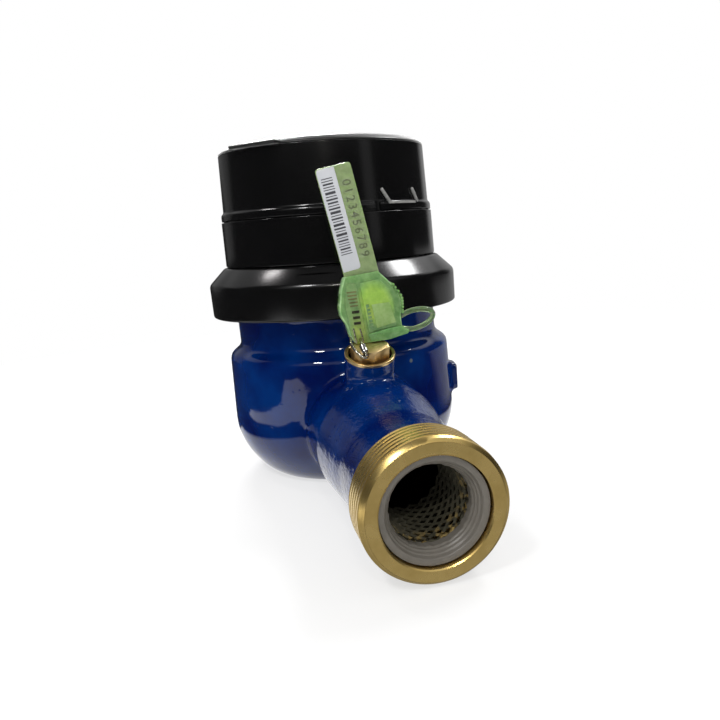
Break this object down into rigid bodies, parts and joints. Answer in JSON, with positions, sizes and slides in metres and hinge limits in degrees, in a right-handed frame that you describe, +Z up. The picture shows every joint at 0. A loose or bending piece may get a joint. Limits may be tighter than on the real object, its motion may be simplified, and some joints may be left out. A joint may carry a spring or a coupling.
{
  "type": "water meter",
  "caption": "Brass-bodied cold-water meter with threaded pipe ends, a turning register head with a hinged lid, an impeller-driven gear train, a regulating plug and a wire seal.",
  "frame": {"origin": "centre of the flat base of the bowl", "axes": "+X along the pipe towards the inlet thread, +Y to the right of someone who faces the inlet, +Z up"},
  "size_m": [0.26, 0.0998, 0.1285],
  "materials": {
    "blue_paint": "gloss",
    "brass": "machined",
    "black_plastic": "satin",
    "grey_plastic": "matte",
    "dark_mesh": "matte",
    "white_plastic": "matte",
    "red_plastic": "matte",
    "magnet": "matte",
    "rubber": "matte",
    "steel": "drawn",
    "glass": "clear",
    "green_plastic": "gloss",
    "clear_plastic": "clear"
  },
  "bodies": {
    "meter": {"meter_body": "blue_paint", "body_o_ring": "rubber", "regulating_plug": "brass", "plug_o_ring": "rubber", "strainer_collar": "grey_plastic", "strainer_basket": "dark_mesh", "measuring_chamber": "white_plastic", "chamber_cover": "white_plastic", "impeller_pivot": "steel", "pressure_plate": "brass", "friction_ring": "white_plastic", "ring_nut": "black_plastic", "seal_body": "green_plastic", "seal_key": "green_plastic", "seal_wire": "steel", "wire_ferrule": "steel"},
    "impeller_wheel": {"impeller": "white_plastic", "drive_magnet": "magnet"},
    "head": {"register_can": "clear_plastic", "movement_plate": "white_plastic", "reduction_box": "white_plastic", "drum_shaft": "steel", "dial_plate": "white_plastic", "glass_gasket": "rubber", "register_glass": "glass", "shroud": "black_plastic", "lid_ring": "black_plastic", "hinge_pin": "steel"},
    "lid": {"lid": "black_plastic"},
    "follower": {"follower_spindle": "white_plastic", "follower_magnet": "magnet"},
    "star": {"star_arbor": "white_plastic", "star_indicator": "red_plastic"},
    "hand_1": {"pointer_arbor_1": "white_plastic", "pointer_1": "red_plastic"},
    "hand_2": {"pointer_arbor_2": "white_plastic", "pointer_2": "red_plastic"},
    "hand_3": {"pointer_arbor_3": "white_plastic", "pointer_3": "red_plastic"},
    "hand_4": {"pointer_arbor_4": "white_plastic", "pointer_4": "red_plastic"},
    "wheel_1": {"drum_1": "white_plastic"},
    "wheel_2": {"drum_2": "white_plastic"},
    "wheel_3": {"drum_3": "white_plastic"},
    "wheel_4": {"drum_4": "white_plastic"},
    "wheel_5": {"drum_5": "white_plastic"}
  },
  "joints": [
    {"name": "impeller_spin", "type": "hinge", "parent": "meter", "child": "impeller_wheel", "pos_m": [0, 0, 0.026], "axis": [0, 0, 1], "continuous": true},
    {"name": "head_turn", "type": "hinge", "parent": "meter", "child": "head", "pos_m": [0, 0, 0.08], "axis": [0, 0, 1], "range_deg": [-175, 175]},
    {"name": "lid_hinge", "type": "hinge", "parent": "head", "child": "lid", "pos_m": [-0.03005, 0.03005, 0.12595], "axis": [-0.7071, -0.7071, 0], "range_deg": [0, 110]},
    {"name": "follower_spin", "type": "hinge", "parent": "head", "child": "follower", "pos_m": [0, 0, 0.08], "axis": [0, 0, 1], "continuous": true},
    {"name": "star_spin", "type": "hinge", "parent": "head", "child": "star", "pos_m": [-0.01053, -0.00982, 0.085], "axis": [0, 0, 1], "continuous": true},
    {"name": "hand_1_spin", "type": "hinge", "parent": "head", "child": "hand_1", "pos_m": [-0.00632, -0.02359, 0.1008], "axis": [0, 0, 1], "continuous": true},
    {"name": "hand_2_spin", "type": "hinge", "parent": "head", "child": "hand_2", "pos_m": [0.01032, -0.02213, 0.1008], "axis": [0, 0, 1], "continuous": true},
    {"name": "hand_3_spin", "type": "hinge", "parent": "head", "child": "hand_3", "pos_m": [0.02213, -0.01032, 0.1008], "axis": [0, 0, 1], "continuous": true},
    {"name": "hand_4_spin", "type": "hinge", "parent": "head", "child": "hand_4", "pos_m": [0.02359, 0.00632, 0.1008], "axis": [0, 0, 1], "continuous": true},
    {"name": "wheel_1_roll", "type": "hinge", "parent": "head", "child": "wheel_1", "pos_m": [-0.00226, 0.01923, 0.0951], "axis": [0.7071, 0.7071, 0], "continuous": true},
    {"name": "wheel_2_roll", "type": "hinge", "parent": "head", "child": "wheel_2", "pos_m": [-0.00651, 0.01499, 0.0951], "axis": [0.7071, 0.7071, 0], "continuous": true},
    {"name": "wheel_3_roll", "type": "hinge", "parent": "head", "child": "wheel_3", "pos_m": [-0.01075, 0.01075, 0.0951], "axis": [0.7071, 0.7071, 0], "continuous": true},
    {"name": "wheel_4_roll", "type": "hinge", "parent": "head", "child": "wheel_4", "pos_m": [-0.01499, 0.00651, 0.0951], "axis": [0.7071, 0.7071, 0], "continuous": true},
    {"name": "wheel_5_roll", "type": "hinge", "parent": "head", "child": "wheel_5", "pos_m": [-0.01923, 0.00226, 0.0951], "axis": [0.7071, 0.7071, 0], "continuous": true}
  ],
  "couplings": [
    {"joint": "follower_spin", "follows": "impeller_spin", "ratio": 1},
    {"joint": "star_spin", "follows": "impeller_spin", "ratio": -0.33333},
    {"joint": "hand_1_spin", "follows": "impeller_spin", "ratio": 0.11111},
    {"joint": "hand_2_spin", "follows": "impeller_spin", "ratio": 0.011111},
    {"joint": "hand_3_spin", "follows": "impeller_spin", "ratio": 0.0011111},
    {"joint": "hand_4_spin", "follows": "impeller_spin", "ratio": 0.00011111},
    {"joint": "wheel_1_roll", "follows": "impeller_spin", "ratio": 0.000011111},
    {"joint": "wheel_2_roll", "follows": "impeller_spin", "ratio": 0.0000011111},
    {"joint": "wheel_3_roll", "follows": "impeller_spin", "ratio": 0.00000011111},
    {"joint": "wheel_4_roll", "follows": "impeller_spin", "ratio": 0.000000011111},
    {"joint": "wheel_5_roll", "follows": "impeller_spin", "ratio": 0.0000000011111}
  ]
}
